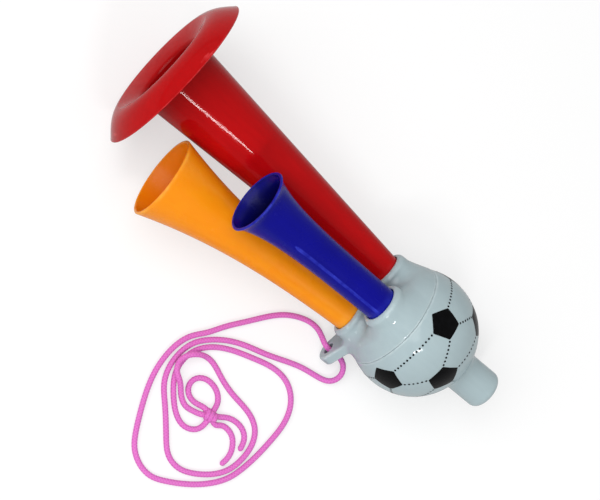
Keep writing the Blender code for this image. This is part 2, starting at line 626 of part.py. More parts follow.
def lanyard():
    cord = material("pink_cord", (0.76, 0.11, 0.60), 0.8)
    strand("lanyard_strand_front", STRAND_FRONT, CORD_STEP, cord)
    strand("lanyard_strand_rear", STRAND_REAR, CORD_STEP, cord)
    strand("lanyard_bight", BIGHT, BIGHT_STEP, cord)
    strand("lanyard_tail_long", TAIL_LONG, BIGHT_STEP, cord)
    strand("lanyard_tail_short", TAIL_SHORT, BIGHT_STEP, cord)
    knot(cord)
    least_gap([STRAND_FRONT, STRAND_REAR, BIGHT, TAIL_LONG, TAIL_SHORT])


def main():
    clear_scene()
    horn = bpy.data.objects.new("horn_axes", None)
    bpy.context.scene.collection.objects.link(horn)
    rear_shell(horn, material("white_rear", WHITE, 0.25))
    front_shell(horn, material("white_front", WHITE, 0.25))
    trumpets(horn, {c: material(c + "_plastic", COLOURS[c], 0.2) for c in COLOURS})
    reeds(horn)
    set_down(horn)
    lanyard()


main()
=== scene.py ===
"""Looks of the three-trumpet stadium horn.

Fine moulded shells and trumpets stand for the solids of the same names, the ball carries its printed
football pattern, and the neck cord is a braided tube along the solids' own route.
"""
import json
import math

import bpy
import numpy as np
from mathutils import Matrix, Vector


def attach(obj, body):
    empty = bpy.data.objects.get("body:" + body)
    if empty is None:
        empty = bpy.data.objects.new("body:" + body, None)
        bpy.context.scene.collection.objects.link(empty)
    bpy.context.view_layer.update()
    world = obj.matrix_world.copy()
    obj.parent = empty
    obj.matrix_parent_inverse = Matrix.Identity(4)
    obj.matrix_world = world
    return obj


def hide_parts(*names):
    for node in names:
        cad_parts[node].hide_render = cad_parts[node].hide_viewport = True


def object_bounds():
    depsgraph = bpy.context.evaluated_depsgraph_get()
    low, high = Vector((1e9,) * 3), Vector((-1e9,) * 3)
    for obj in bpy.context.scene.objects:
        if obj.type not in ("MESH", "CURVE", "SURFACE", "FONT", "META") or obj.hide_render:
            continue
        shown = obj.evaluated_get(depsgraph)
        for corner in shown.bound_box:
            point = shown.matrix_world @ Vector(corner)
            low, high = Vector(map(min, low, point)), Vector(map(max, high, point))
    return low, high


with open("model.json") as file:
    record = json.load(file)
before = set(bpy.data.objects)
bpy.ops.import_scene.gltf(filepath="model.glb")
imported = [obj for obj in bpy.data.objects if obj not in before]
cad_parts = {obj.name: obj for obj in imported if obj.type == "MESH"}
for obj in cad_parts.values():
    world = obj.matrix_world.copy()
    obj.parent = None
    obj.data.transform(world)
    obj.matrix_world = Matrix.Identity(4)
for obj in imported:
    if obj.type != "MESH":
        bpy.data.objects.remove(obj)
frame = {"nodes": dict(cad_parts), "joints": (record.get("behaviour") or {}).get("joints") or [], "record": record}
cad_low, cad_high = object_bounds()
JOINTS = {joint["name"]: joint for joint in frame["joints"]}
MOUNTS = {mount["name"]: mount for mount in frame["record"]["mounts"]}

MILLIMETRE = 0.001
GAP = 0.0003

# The horn's own sizes, as in the part's source
BALL_RADIUS = 0.0272
BALL_WALL = 0.0020
SEAM_X = 0.0114
LAP_LENGTH = 0.0030
LAP_WALL = 0.0012
FACE_X = 0.0203
FACE_EDGE_RADIUS = 0.0030
MOUTH_END_X = -0.0440
MOUTH_RADIUS = 0.0086
MOUTH_BORE_RADIUS = 0.0047
SOCKET_OFFSET = 0.0135
COLLAR_RIM_X = 0.0258
COLLAR_RADIUS = 0.0100
COLLAR_BASE_RADIUS = 0.0109
COLLAR_LENGTH = 0.0135
COLLAR_ROUND = 0.0022
SOCKET_DEPTH = 0.0090
REED_HOLE_RADIUS = 0.0048
REED_BEND_X = -0.0196         # the tongue's bend, back from the collar rim
REED_TABLE = 0.0019           # the bend's height above the trumpet's axis
LUG_ANGLE = 330.0
LUG_X = 0.0163
LUG_THICKNESS = 0.0046
LUG_EYE_OFFSET = 0.0328
LUG_END_RADIUS = 0.0057
LUG_ROOT_HALF_WIDTH = 0.0085
LUG_ROOT_OFFSET = 0.0180
LUG_EYE_RADIUS = 0.0026
LUG_EDGE_ROUND = 0.0008
TUBE_RADIUS = 0.0074
TUBE_WALL = 0.0013
RIM_ROUND = 0.0006
BLUE_LENGTH = 0.0701
BLUE_RIM_RADIUS = 0.0144
BLUE_FLARE_REACH = 0.0155
BLUE_LIP_LENGTH = 0.0032
BLUE_LIP_FLARE = 0.0009
ORANGE_LENGTH = 0.0988
ORANGE_RIM_RADIUS = 0.0182
ORANGE_FLARE_POWER = 2.6
RED_LENGTH = 0.1212
RED_TAPER = 0.0788
RED_LIP_RADIUS = 0.0373
RED_LIP_RISE = 0.0070
RED_LIP_POWERS = (0.9, 1.97)
RED_CREST_RADIUS = 0.0253
RED_FUNNEL_SLOPE = 22.5
RED_THROAT_ROUND = 0.0022

# Finer forms of the moulding
SEGMENTS = 160                # round a turned piece
SMOOTH_ANGLE = 50.0           # sharper edges than this, in degrees, show as edges
BALL_STEPS = 72               # along the ball's outside
CAVITY_STEPS = 24             # along its inside
FILLET_STEPS = 14
RIM_STEPS = 10
EDGE_STEPS = 5
BELL_STEPS = 60               # along the orange and the blue trumpet
BELL_CROWDING = 0.7           # under 1, so the steps draw together towards the rim
CONE_STEPS = 40               # along the red trumpet's cone
LIP_STEPS = 44                # over its lip
LIP_HOLLOW_STEPS = 40         # under its lip
SHELL_PITCH = 0.00045         # cell of the front half's mesh
SETTLE_ROUNDS = 3             # passes that bring its points onto the true surface
LEAST_SLOPE = 0.5             # keeps those passes short where surfaces meet
COLLAR_FILLET = 0.0042        # between the collars and the ball
VALLEY_FILLET = 0.0022        # between two collars
LUG_FILLET = 0.0022
MOUTH_FILLET = 0.0058
MOUTH_END_ROUND = 0.0031
MOUTH_END_BAND = 0.0030       # straight wall next to the end's round
BORE_EDGE = 0.0005
SEAM_GAP = 0.00014            # seen between the two halves
SEAM_EDGE = 0.00025           # small break of the edges along the seam
PAINTED_SHADE_REACH = 0.034          # how near the walls of a hollow darken each other, as painted shade

# Printed football pattern: two rings of five pentagons, as polar angle from the bells' side,
# circumradius and azimuths, all in degrees
FRONT_RING = (85.1, 14.6, (34.3, 113.4, 184.5, 254.5, 324.5))
REAR_RING = (121.8, 15.35, (72.7, 151.0, 219.5, 289.0, 359.5))
INK_HEIGHT = 0.00004
INK_DEPTH = 0.0012            # the hidden foot of a patch inside the wall
INK_SMOOTH_ANGLE = 40.0       # keeps a patch's own edge sharp
DOT_SPACING = 0.0018
DOT_RADIUS = 0.00047
DOT_SIDES = 14
DOT_RINGS = 2
TICK_LENGTH = 0.0034          # short row of dots towards the mouthpiece
TICK_DOT_RADIUS = 0.000376
CORNER_CUT = 0.05             # share of an edge that a pentagon's rounded corner takes
CORNER_POINTS = 6
EDGE_POINTS = 12
PENTAGON_RINGS = 10

# Neck cord: one length of braid, its routes in millimetres as in the part's source
CORD_DIAMETER = 0.0025
CORD_SIDES = 24
CORD_STEP = 0.00026
BRAID_PITCH = 0.0052          # length of one turn of a braid strand
BRAID_STRANDS = 4             # strands that turn each way
BRAID_RELIEF = 0.00010
FIBRE_STRETCH = (26.0, 7.0, 1.0)
FIBRE_SCALE = 3.0
CORD_END_ROUND = 0.6          # length of a cord end's round, in diameters
CORD_END_FLAT = 0.02          # share of the section left at its tip
CURVE_STEPS = 16              # between two points of a route
STRAND_FRONT = [
    (-36.7, 36.5, 5.5), (-33.6, 36.2, 5.5), (-30.1, 34.1, 4.6), (-26.7, 31.8, 3.1), (-22.7, 31.0, 1.9),
    (-17.6, 32.0, 1.3), (-11.6, 35.0, 1.3), (-5.6, 40.3, 1.3), (0.7, 47.4, 1.3), (7.1, 54.7, 1.3),
    (12.3, 61.5, 1.3), (16.8, 66.5, 1.3), (19.7, 72.4, 1.3), (21.1, 79.7, 1.3), (21.1, 87.3, 1.3),
    (17.0, 103.9, 1.3), (14.0, 111.7, 1.3), (10.1, 118.6, 1.3), (4.4, 122.8, 1.3), (-2.3, 124.0, 1.3),
    (-8.4, 122.2, 1.3), (-25.4, 111.5, 1.3), (-30.2, 105.6, 1.3), (-33.2, 98.5, 1.3), (-36.8, 80.9, 1.3),
    (-37.2, 71.9, 1.3), (-34.3, 63.2, 1.3), (-28.1, 57.9, 1.3), (-20.3, 56.6, 1.3), (-10.8, 58.3, 1.3),
    (-2.3, 60.6, 1.3), (5.9, 64.4, 1.3), (11.4, 69.6, 1.3), (14.0, 76.8, 1.3), (13.4, 83.5, 1.3),
    (9.4, 90.6, 1.3), (3.7, 96.7, 1.3), (-1.8, 99.0, 1.3), (-6.6, 97.5, 1.4), (-8.8, 92.5, 1.9),
]
STRAND_REAR = [
    (-37.1, 36.5, 5.5), (-40.5, 36.5, 5.1), (-44.4, 38.2, 4.2), (-46.1, 42.2, 3.2), (-44.0, 46.4, 2.1),
    (-38.6, 48.1, 1.4), (-31.2, 48.9, 1.3), (-14.7, 53.5, 1.3), (-5.9, 55.6, 1.3), (2.2, 58.5, 1.3),
    (9.0, 62.8, 1.3), (14.3, 68.4, 1.3), (16.9, 75.4, 1.3), (17.2, 82.3, 1.3), (15.1, 89.4, 1.3),
    (10.4, 95.7, 1.3), (1.4, 107.5, 1.3), (-3.4, 112.7, 1.3), (-9.7, 114.6, 1.3), (-16.9, 112.6, 1.3),
    (-23.6, 108.3, 1.3), (-28.2, 102.9, 1.3), (-30.5, 96.1, 1.3), (-30.8, 88.9, 1.3), (-28.1, 82.4, 1.3),
    (-22.0, 78.4, 1.3), (-12.6, 76.2, 1.3), (-3.5, 73.0, 1.3), (4.2, 69.9, 1.3), (7.5, 70.2, 2.4),
    (10.8, 71.8, 4.1), (13.6, 74.2, 4.3), (15.4, 78.4, 3.95), (14.1, 82.6, 4.2), (10.8, 85.1, 3.7),
    (8.3, 87.1, 2.1), (5.8, 89.7, 1.3), (2.1, 91.8, 1.3), (-2.1, 91.6, 1.5), (-4.9, 91.0, 1.9),
]
BIGHT = [
    (-8.7, 86.5, 2.2), (-8.4, 82.8, 1.4), (-6.0, 79.5, 1.3), (-2.1, 77.7, 1.3), (2.0, 77.8, 1.3),
    (5.2, 80.2, 1.3), (5.8, 84.0, 1.3), (3.4, 87.3, 1.3), (-0.5, 88.3, 1.4), (-4.9, 87.9, 1.9),
]
TAIL_LONG = [
    (-12.5, 90.9, 1.9), (-15.2, 89.6, 1.4), (-18.7, 89.4, 1.3), (-21.7, 90.8, 1.3), (-23.8, 93.4, 1.3),
    (-25.0, 96.7, 1.3), (-25.0, 100.1, 1.3), (-24.1, 103.3, 1.3),
]
TAIL_SHORT = [
    (-12.6, 87.1, 1.9), (-15.4, 85.5, 1.4), (-19.6, 84.7, 1.3), (-23.5, 85.6, 1.3), (-26.3, 88.0, 1.3),
    (-27.4, 91.3, 1.3), (-27.6, 93.9, 1.3),
]
THROUGH_KNOT_LONG = [(-9.1, 90.1, 2.5)]
THROUGH_KNOT_SHORT = [(-8.1, 89.3, 2.3)]
BIGHT_FROM_KNOT = [(-8.8, 88.6, 2.6)]
BIGHT_INTO_KNOT = [(-7.4, 88.4, 2.4)]
KNOT_CENTRE = (-8.5, 89.5, 2.7)
KNOT_HALF_LENGTH = 2.32       # of the turns' own line, as is the radius
KNOT_RADIUS = 1.65
KNOT_FLATTENING = 0.85        # height against width
KNOT_TURNS = 2.75
KNOT_START = 0.6              # angle of the first turn, in radians
KNOT_POINTS = 40
KNOT_CORD_SHARE = 0.92        # the drawn-up cord is a little thinner

# Camera at the photograph's angle, for a frame of 600 by 500
CAMERA_PLACE = (0.19027, 0.25564, 0.86054)
CAMERA_RIGHT = (-0.77820, -0.53565, 0.32786)
CAMERA_DOWN = (-0.59203, 0.79989, -0.09837)
CAMERA_LENS = 128.57
CAMERA_SENSOR = 36.0
CAMERA_CLIP = (0.01, 50.0)

# Stage and lights, in metres and watts
FLOOR_HALF = 6.0
FLOOR_GREY = 0.62             # what the floor throws back at the object
FLOOR_WHITE_SHARE = 0.56      # how far the camera sees it as plain white
SKY_STRENGTH = 0.54           # light from all sides
KEY_PLACE = (0.520, 0.250, 0.900)
KEY_TARGET = (0.0, 0.02, 0.03)
KEY_SIZE = (1.00, 1.00)
KEY_POWER = 6.9
STRIP_PLACE = (-0.180, 0.420, 0.545)
STRIP_TARGET = (0.067, 0.0, 0.049)
STRIP_SIZE = (0.176, 0.028)
STRIP_POWER = 0.95
STRIP_LONG_WAY = (-0.471, -0.744, 0.471)

# Marks on moulded plastic: how fine each kind is
CLOUD_SCALE = 45.0
SMEAR_SCALE = 70.0
RUB_SCALE = 260.0
FLOW_SCALE = 520.0
PEEL_SCALE = 650.0
HAIR_SCALE = 1500.0
FLOW_STRETCH = (0.12, 1.0, 1.0)
HAIR_STRETCH = (0.06, 1.3, 1.0)
PEEL_STRENGTH = 0.009
PEEL_HEIGHT = 0.0004
ROUGHER = 0.06                # what smears, and fine scratches, add to the roughness
PLASTIC_IOR = 1.49


def linear(red, green, blue):
    """Linear colour of an sRGB value from 0 to 255."""
    parts = [value / 255.0 for value in (red, green, blue)]
    return tuple(p / 12.92 if p <= 0.04045 else ((p + 0.055) / 1.055) ** 2.4 for p in parts)


def unit(values):
    return Vector(values).normalized()


def axes_matrix(x_axis, y_axis, z_axis, origin):
    place = Matrix((x_axis, y_axis, z_axis)).transposed().to_4x4()
    place.translation = origin
    return place


def level(place):
    """A frame turned about its own X until its Y lies level, so that boxes round meshes stay close."""
    x_axis = place.col[0].xyz
    y_axis = Vector((0.0, 0.0, 1.0)).cross(x_axis).normalized()
    return axes_matrix(x_axis, y_axis, x_axis.cross(y_axis), place.translation)


def socket_frame(colour):
    """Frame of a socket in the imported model: X out along the trumpet, origin on the collar rim."""
    x_axis = unit(JOINTS[colour + "_pull"]["axis"])
    z_axis = x_axis.cross(unit(JOINTS[colour + "_reed"]["axis"])).normalized()
    hinge = Vector(JOINTS[colour + "_reed"]["pos_m"])
    rim = hinge - REED_BEND_X * x_axis - REED_TABLE * z_axis
    return axes_matrix(x_axis, z_axis.cross(x_axis), z_axis, rim)


def horn_frame():
    """Frame of the ball: X ahead to the bells, Z to the blue socket."""
    ahead = -unit(MOUNTS["mouthpiece_end"]["axis"])
    z_axis = ahead.cross(unit(JOINTS["blue_reed"]["axis"])).normalized()
    centre = socket_frame("blue").translation - COLLAR_RIM_X * ahead - SOCKET_OFFSET * z_axis
    return axes_matrix(ahead, z_axis.cross(ahead), z_axis, centre)


HORN = horn_frame()


# Meshes

def add_mesh(name, verts, faces, place, finish, smooth_angle=None):
    """Smooth-shaded mesh object from points in a frame of their own."""
    mesh = bpy.data.meshes.new(name)
    mesh.from_pydata([tuple(v) for v in verts], [], [tuple(f) for f in faces])
    mesh.validate()
    stand = level(place)
    mesh.transform(stand.inverted() @ place)
    mesh.shade_smooth()
    if smooth_angle is not None:
        mesh.set_sharp_from_angle(angle=math.radians(smooth_angle))
    mesh.materials.append(finish)
    item = bpy.data.objects.new(name, mesh)
    bpy.context.scene.collection.objects.link(item)
    item.matrix_world = stand
    return item


def arc(centre, radii, start, end, steps):
    """Points of an elliptical arc in the (along, radius) plane, angles in degrees."""
    angles = np.radians(np.linspace(start, end, steps + 1))
    return [(centre[0] + radii[0] * math.cos(a), centre[1] + radii[1] * math.sin(a)) for a in angles]


def sphere_arc(radius, start_x, end_x, steps):
    """Points of a circle about the origin, between two places along X."""
    start = math.degrees(math.acos(start_x / radius))
    end = math.degrees(math.acos(end_x / radius))
    return arc((0.0, 0.0), (radius, radius), start, end, steps)


def turned(name, outline, place, finish):
    """Closed ring body from a closed outline of (along, radius) points, turned about X."""
    count = len(outline)
    turn = np.linspace(0.0, 2 * math.pi, SEGMENTS, endpoint=False)
    verts = [(x, r * math.cos(a), r * math.sin(a)) for a in turn for x, r in outline]
    faces = []
    for step in range(SEGMENTS):
        here = step * count
        there = (step + 1) % SEGMENTS * count
        for k in range(count):
            after = (k + 1) % count
            faces.append((here + k, here + after, there + after, there + k))
    return outward(add_mesh(name, verts, faces, place, finish, SMOOTH_ANGLE))


def outward(item):
    """Turn a closed mesh's faces outward if its volume comes out negative."""
    mesh = item.data
    mesh.calc_loop_triangles()
    points = np.array([v.co for v in mesh.vertices])
    corners = np.array([t.vertices for t in mesh.loop_triangles])
    a, b, c = points[corners[:, 0]], points[corners[:, 1]], points[corners[:, 2]]
    if np.einsum("ij,ij->i", a, np.cross(b, c)).sum() < 0:
        mesh.flip_normals()
    return item


def rear_outline():
    """Section of the rear half: ball, mouthpiece, bore, cavity and the step for the lap."""
    inside = BALL_RADIUS - BALL_WALL
    rabbet = math.sqrt(BALL_RADIUS ** 2 - SEAM_X ** 2) - LAP_WALL
    rim_x = SEAM_X - SEAM_GAP / 2
    edge_x = rim_x - SEAM_EDGE
    fillet_r = MOUTH_RADIUS + MOUTH_FILLET
    fillet_x = -math.sqrt((BALL_RADIUS + MOUTH_FILLET) ** 2 - fillet_r ** 2)
    touch_x = fillet_x * BALL_RADIUS / (BALL_RADIUS + MOUTH_FILLET)
    touch_angle = math.degrees(math.atan2(-fillet_r, -fillet_x))
    bore_x = -math.sqrt(inside ** 2 - MOUTH_BORE_RADIUS ** 2)
    rabbet_x = math.sqrt(inside ** 2 - rabbet ** 2)
    outline = [(rim_x, math.sqrt(BALL_RADIUS ** 2 - rim_x ** 2) - SEAM_EDGE)]
    outline += sphere_arc(BALL_RADIUS, edge_x, touch_x, BALL_STEPS)
    outline += arc((fillet_x, fillet_r), (MOUTH_FILLET, MOUTH_FILLET), touch_angle, -90.0, FILLET_STEPS)[1:]
    outline.append((MOUTH_END_X + MOUTH_END_ROUND + MOUTH_END_BAND, MOUTH_RADIUS))
    outline += arc((MOUTH_END_X + MOUTH_END_ROUND, MOUTH_RADIUS - MOUTH_END_ROUND),
                   (MOUTH_END_ROUND, MOUTH_END_ROUND), 90.0, 180.0, FILLET_STEPS)
    outline += arc((MOUTH_END_X + BORE_EDGE, MOUTH_BORE_RADIUS + BORE_EDGE),
                   (BORE_EDGE, BORE_EDGE), 180.0, 270.0, EDGE_STEPS)
    outline.append((bore_x, MOUTH_BORE_RADIUS))
    outline += sphere_arc(inside, bore_x, rabbet_x, CAVITY_STEPS)[1:]
    outline.append((rim_x, rabbet))
    return outline


# Front half: one smooth body from distances to its plain forms

def round_union(a, b, radius):
    """Distance to two forms joined with a fillet."""
    near = np.hypot(np.maximum(radius - a, 0.0), np.maximum(radius - b, 0.0))
    return np.maximum(radius, np.minimum(a, b)) - near


def round_common(a, b, radius):
    """Distance to what two forms share, its edge rounded."""
    near = np.hypot(np.maximum(radius + a, 0.0), np.maximum(radius + b, 0.0))
    return np.minimum(-radius, np.maximum(a, b)) + near


def collar_distance(points):
    """Distances to one collar and to the room in it, in the socket's own frame."""
    along = points[:, 0]
    out = np.hypot(points[:, 1], points[:, 2])
    taper = (COLLAR_BASE_RADIUS - COLLAR_RADIUS) / (COLLAR_LENGTH - COLLAR_ROUND)
    wall = (out - COLLAR_RADIUS + taper * (along + COLLAR_ROUND)) / math.hypot(1.0, taper)
    solid = np.maximum(round_common(wall, along, COLLAR_ROUND), -COLLAR_LENGTH - along)
    bore = np.maximum(out - TUBE_RADIUS - GAP, -SOCKET_DEPTH - along)
    return solid, np.minimum(bore, out - REED_HOLE_RADIUS)


def lug_distance(points):
    """Distances to the tab and to its eye, X along the ball's axis and Z out through the eye."""
    reach = LUG_EYE_OFFSET - LUG_ROOT_OFFSET
    across = np.abs(points[:, 1])
    out = points[:, 2] - LUG_ROOT_OFFSET
    sine = (LUG_ROOT_HALF_WIDTH - LUG_END_RADIUS) / reach
    cosine = math.sqrt(1.0 - sine ** 2)
    side = cosine * out - sine * across
    plan = across * cosine + out * sine - LUG_ROOT_HALF_WIDTH
    plan = np.where(side < 0.0, np.hypot(across, out) - LUG_ROOT_HALF_WIDTH, plan)
    plan = np.where(side > cosine * reach, np.hypot(across, out - reach) - LUG_END_RADIUS, plan)
    thick = np.abs(points[:, 0] - LUG_X) - LUG_THICKNESS / 2
    eye = np.hypot(points[:, 1], points[:, 2] - LUG_EYE_OFFSET) - LUG_EYE_RADIUS
    return round_common(plan, thick, LUG_EDGE_ROUND), eye


def in_frame(points, place):
    """Points of the horn's axes, as seen in a frame that is given in those axes."""
    turn = np.array(place.to_3x3())
    return (points - np.array(place.translation)) @ turn


def front_distance():
    """Signed distance of the front half as a function of points in the horn's axes."""
    sockets = [HORN.inverted() @ socket_frame(colour) for colour in ("blue", "red", "orange")]
    lug_place = Matrix.Rotation(math.radians(LUG_ANGLE - 90.0), 4, 'X')
    inside = BALL_RADIUS - BALL_WALL
    lap_outside = math.sqrt(BALL_RADIUS ** 2 - SEAM_X ** 2) - LAP_WALL - GAP
    lap_middle = lap_outside - LAP_WALL / 2

    def distance(points):
        along = points[:, 0]
        off_axis = np.hypot(points[:, 1], points[:, 2])
        radius = np.hypot(along, off_axis)
        body = round_common(radius - BALL_RADIUS, along - FACE_X, FACE_EDGE_RADIUS)
        solids = []
        rooms = []
        for place in sockets:
            solid, room = collar_distance(in_frame(points, place))
            solids.append(solid)
            rooms.append(room)
        collars = round_union(round_union(solids[0], solids[1], VALLEY_FILLET), solids[2], VALLEY_FILLET)
        tab, eye = lug_distance(in_frame(points, lug_place))
        body = round_union(body, collars, COLLAR_FILLET)
        body = round_union(body, tab, LUG_FILLET)
        room = np.maximum(radius - inside, along - FACE_X + BALL_WALL)
        body = np.minimum(np.maximum(body, -room), collars)
        body = round_common(body, SEAM_X + SEAM_GAP / 2 - along, SEAM_EDGE)
        lap = np.maximum(np.abs(off_axis - lap_middle) - LAP_WALL / 2, np.abs(along - SEAM_X) - LAP_LENGTH)
        body = np.minimum(body, lap)
        body = round_common(body, -eye, BORE_EDGE)
        for cut in rooms:
            body = round_common(body, -cut, BORE_EDGE)
        return body

    return distance


def net_points(value, pitch, origin):
    """A point in each cell that the surface crosses, amid its crossings, and the points' numbers by cell."""
    cells = tuple(n - 1 for n in value.shape)
    total = np.zeros(cells + (3,))
    count = np.zeros(cells)
    corners = [np.array(c) for c in np.ndindex(2, 2, 2)]
    view = {tuple(c): tuple(slice(o, o + n) for o, n in zip(c, cells)) for c in corners}
    for first in corners:
        for axis in range(3):
            if first[axis]:
                continue
            second = first.copy()
            second[axis] = 1
            a, b = value[view[tuple(first)]], value[view[tuple(second)]]
            crossing = (a < 0.0) != (b < 0.0)
            share = np.where(crossing, a / np.where(crossing, a - b, 1.0), 0.0)
            place = np.broadcast_to(first.astype(float), cells + (3,)).copy()
            place[..., axis] += share
            total += np.where(crossing[..., None], place, 0.0)
            count += crossing
    used = count > 0
    index = np.full(cells, -1)
    index[used] = np.arange(used.sum())
    base = np.stack(np.meshgrid(*[np.arange(n) for n in cells], indexing="ij"), axis=-1)
    return (base[used] + total[used] / count[used][:, None]) * pitch + origin, index


def net_faces(inside, index):
    """A quad across each grid edge that passes through the surface."""
    faces = []
    for axis in range(3):
        one, two = [k for k in range(3) if k != axis]
        start = [slice(1, -1)] * 3
        start[axis] = slice(0, inside.shape[axis] - 1)
        ahead = list(start)
        ahead[axis] = slice(1, inside.shape[axis])
        near, far = inside[tuple(start)], inside[tuple(ahead)]
        spots = np.argwhere(near != far)
        leaving = near[tuple(spots.T)]
        spots[:, one] += 1
        spots[:, two] += 1
        ring = []
        for step_one, step_two in ((1, 1), (0, 1), (0, 0), (1, 0)):
            cell = spots.copy()
            cell[:, one] -= step_one
            cell[:, two] -= step_two
            ring.append(index[tuple(cell.T)])
        quads = np.stack(ring, axis=1)
        keep = leaving if axis != 1 else ~leaving
        quads[~keep] = quads[~keep][:, ::-1]
        faces.append(quads)
    return np.vstack(faces)


def surface_net(distance, low, high, pitch):
    """Closed quad mesh of a distance function's zero surface, one vertex to a cell."""
    axes = [np.arange(a, b + pitch, pitch) for a, b in zip(low, high)]
    grid = np.stack(np.meshgrid(*axes, indexing="ij"), axis=-1)
    value = distance(grid.reshape(-1, 3)).reshape(grid.shape[:3])
    verts, index = net_points(value, pitch, np.array([axis[0] for axis in axes]))
    return verts, net_faces(value < 0.0, index)


def settle(distance, points, step):
    """Bring points onto the zero surface along its slope."""
    for _ in range(SETTLE_ROUNDS):
        value = distance(points)
        slope = np.stack([(distance(points + step * axis) - distance(points - step * axis)) / (2 * step)
                          for axis in np.eye(3)], axis=1)
        size = np.maximum(np.einsum("ij,ij->i", slope, slope), LEAST_SLOPE ** 2)
        points = points - (value / size)[:, None] * slope
    return points


def front_shell(finish):
    """Front half of the ball, with its collars and lug in one moulding."""
    distance = front_distance()
    margin = 2 * SHELL_PITCH
    reach = LUG_EYE_OFFSET + LUG_END_RADIUS
    low = (SEAM_X - LAP_LENGTH - margin, -BALL_RADIUS - margin, -BALL_RADIUS - margin)
    high = (COLLAR_RIM_X + COLLAR_ROUND, reach, BALL_RADIUS + margin)
    verts, faces = surface_net(distance, low, high, SHELL_PITCH)
    verts = settle(distance, verts, SHELL_PITCH / 4)
    return outward(add_mesh("front_half", verts, faces, HORN, finish))


# Trumpets

def trumpet_outline(length, radius_at):
    """Section of a trumpet of even wall, its outside radius given along it."""
    shares = np.linspace(0.0, 1.0, BELL_STEPS) ** BELL_CROWDING
    stations = np.concatenate(([-SOCKET_DEPTH + GAP], length * shares))
    outside = [(x, radius_at(x)) for x in stations]
    rim_middle = (length, outside[-1][1] - TUBE_WALL / 2)
    rim = arc(rim_middle, (RIM_ROUND, TUBE_WALL / 2), 90.0, -90.0, RIM_STEPS)[1:-1]
    inside = [(x, r - TUBE_WALL) for x, r in reversed(outside)]
    return outside + rim + inside


def blue_radius(x):
    grown = BLUE_RIM_RADIUS - BLUE_LIP_FLARE - TUBE_RADIUS
    flare = grown * math.exp((x - BLUE_LENGTH) / BLUE_FLARE_REACH) if x > 0 else 0.0
    lip = max(0.0, (x - BLUE_LENGTH + BLUE_LIP_LENGTH) / BLUE_LIP_LENGTH)
    return TUBE_RADIUS + flare + BLUE_LIP_FLARE * lip ** 2


def orange_radius(x):
    grown = max(0.0, x) / ORANGE_LENGTH
    return TUBE_RADIUS + (ORANGE_RIM_RADIUS - TUBE_RADIUS) * grown ** ORANGE_FLARE_POWER


def lip_section(rise, wide, steps):
    """Rolled lip of the red bell, from its crest to its rim."""
    along, across = RED_LIP_POWERS
    angles = np.linspace(0.0, math.pi / 2, steps + 1)
    return [(RED_LENGTH + rise * max(0.0, math.cos(a)) ** (2 / along),
             RED_CREST_RADIUS + wide * math.sin(a) ** (2 / across)) for a in angles]


def red_outline():
    """Section of the red trumpet: cone, hollow lip, crest, funnel and bore, all of one wall."""
    wide = RED_LIP_RADIUS - RED_CREST_RADIUS
    crest = (RED_LENGTH + RED_LIP_RISE, RED_CREST_RADIUS)
    turn = (-RED_FUNNEL_SLOPE, math.degrees(math.atan(RED_TAPER)) - 90.0)
    normals = np.column_stack((np.cos(np.radians(turn)), np.sin(np.radians(turn))))
    on_both = np.array((crest, (0.0, TUBE_RADIUS - TUBE_WALL)))
    throat = np.linalg.solve(normals, (normals * on_both).sum(axis=1) - RED_THROAT_ROUND)
    under = RED_THROAT_ROUND - TUBE_WALL
    tube_end = -SOCKET_DEPTH + GAP
    cone_x = np.linspace(0.0, throat[0], CONE_STEPS)[:-1]
    outline = [(tube_end, TUBE_RADIUS)]
    outline += [(x, TUBE_RADIUS + RED_TAPER * x) for x in cone_x]
    outline += arc(throat, (under, under), turn[1], turn[0], RIM_STEPS)
    outline += lip_section(RED_LIP_RISE - TUBE_WALL, wide - TUBE_WALL, LIP_HOLLOW_STEPS)
    rim_middle = (RED_LENGTH, RED_LIP_RADIUS - TUBE_WALL / 2)
    outline += arc(rim_middle, (RIM_ROUND, TUBE_WALL / 2), 270.0, 90.0, RIM_STEPS)[1:-1]
    outline += reversed(lip_section(RED_LIP_RISE, wide, LIP_STEPS))
    outline += arc(throat, (RED_THROAT_ROUND, RED_THROAT_ROUND), turn[0], turn[1], FILLET_STEPS)
    outline += [(x, TUBE_RADIUS - TUBE_WALL + RED_TAPER * x) for x in reversed(cone_x)]
    outline.append((tube_end, TUBE_RADIUS - TUBE_WALL))
    return outline


# Printed pattern

def ball_direction(polar, azimuth):
    p, a = math.radians(polar), math.radians(azimuth)
    return Vector((math.cos(p), math.sin(p) * math.cos(a), math.sin(p) * math.sin(a)))


def tangents(normal):
    """Two directions on the ball's skin: towards the bells and across."""
    ahead = Vector((1.0, 0.0, 0.0))
    ahead = (ahead - ahead.dot(normal) * normal).normalized()
    return ahead, normal.cross(ahead)


def pentagon_corners(polar, reach, azimuth, first):
    """Corner directions of a pentagon on the ball, the first towards the bells or away from them."""
    middle = ball_direction(polar, azimuth)
    ahead, aside = tangents(middle)
    size = math.tan(math.radians(reach))
    bearings = [math.radians(first + 360.0 / 5 * k) for k in range(5)]
    corners = [middle + size * (math.cos(b) * ahead + math.sin(b) * aside) for b in bearings]
    return middle, [corner.normalized() for corner in corners]


def nearest_corners(one, two):
    """The corner directions of two pentagons that lie nearest each other."""
    return min(((a, b) for a in one for b in two), key=lambda pair: pair[0].angle(pair[1]))


